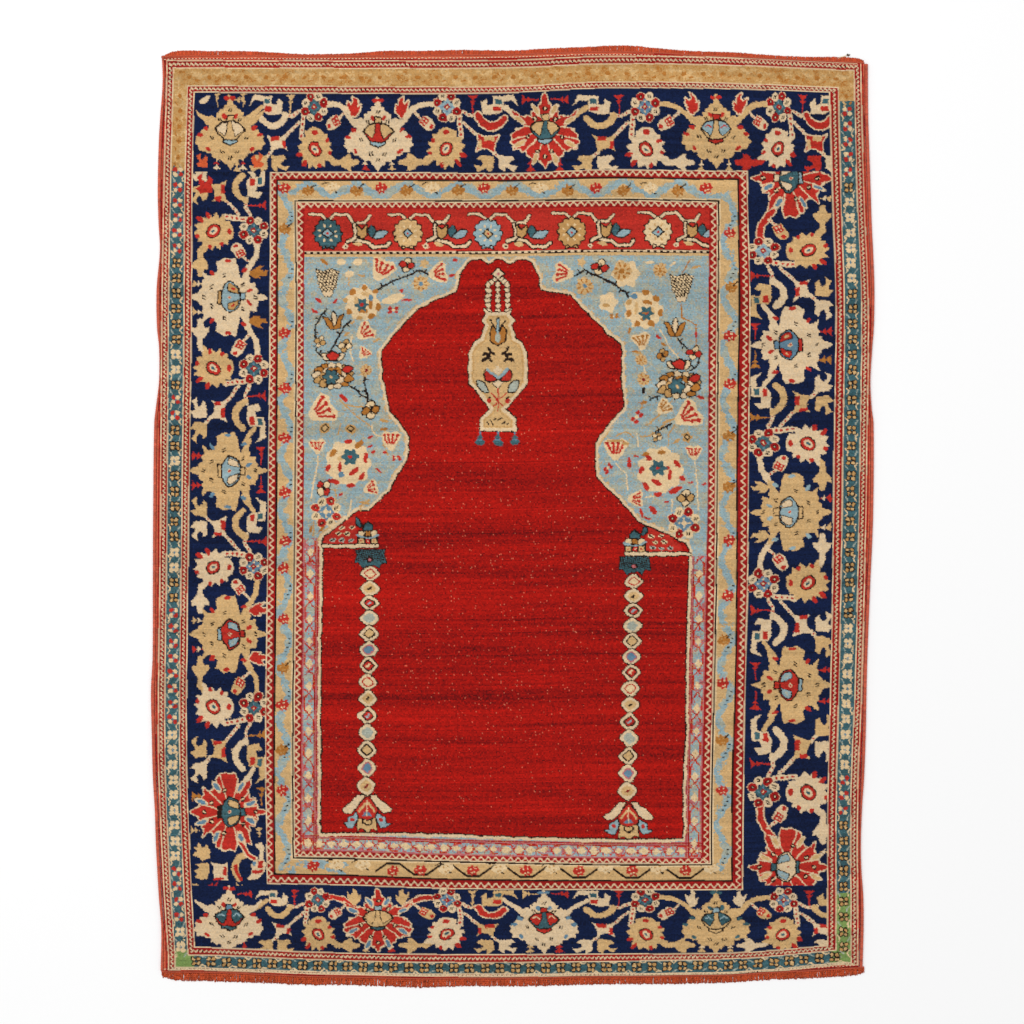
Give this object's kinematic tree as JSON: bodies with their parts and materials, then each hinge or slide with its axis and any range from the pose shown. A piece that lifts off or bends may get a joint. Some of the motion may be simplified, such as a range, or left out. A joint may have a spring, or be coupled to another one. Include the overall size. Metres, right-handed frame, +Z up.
{
  "type": "prayer rug",
  "caption": "Flat antique knotted-pile prayer rug with an arched red field, a hanging lamp, floral borders, overcast sides and short warp fringes.",
  "frame": {"origin": "on the floor, under the middle of the rug's box", "axes": "+Y along the rug towards the point of the arch, +X to the right seen from above, +Z up out of the pile"},
  "size_m": [1.3322, 1.7329, 0.005],
  "materials": {
    "knotted_pile": "matte",
    "overcast_left": "matte",
    "overcast_right": "matte",
    "warp_ends_top": "matte",
    "warp_ends_bottom": "matte",
    "loop_thread": "matte"
  },
  "bodies": {
    "root": {"rug_cloth": "knotted_pile", "selvedge_left": "overcast_left", "selvedge_right": "overcast_right", "fringe_top": "warp_ends_top", "fringe_bottom": "warp_ends_bottom", "hanging_loop": "loop_thread"}
  },
  "joints": []
}
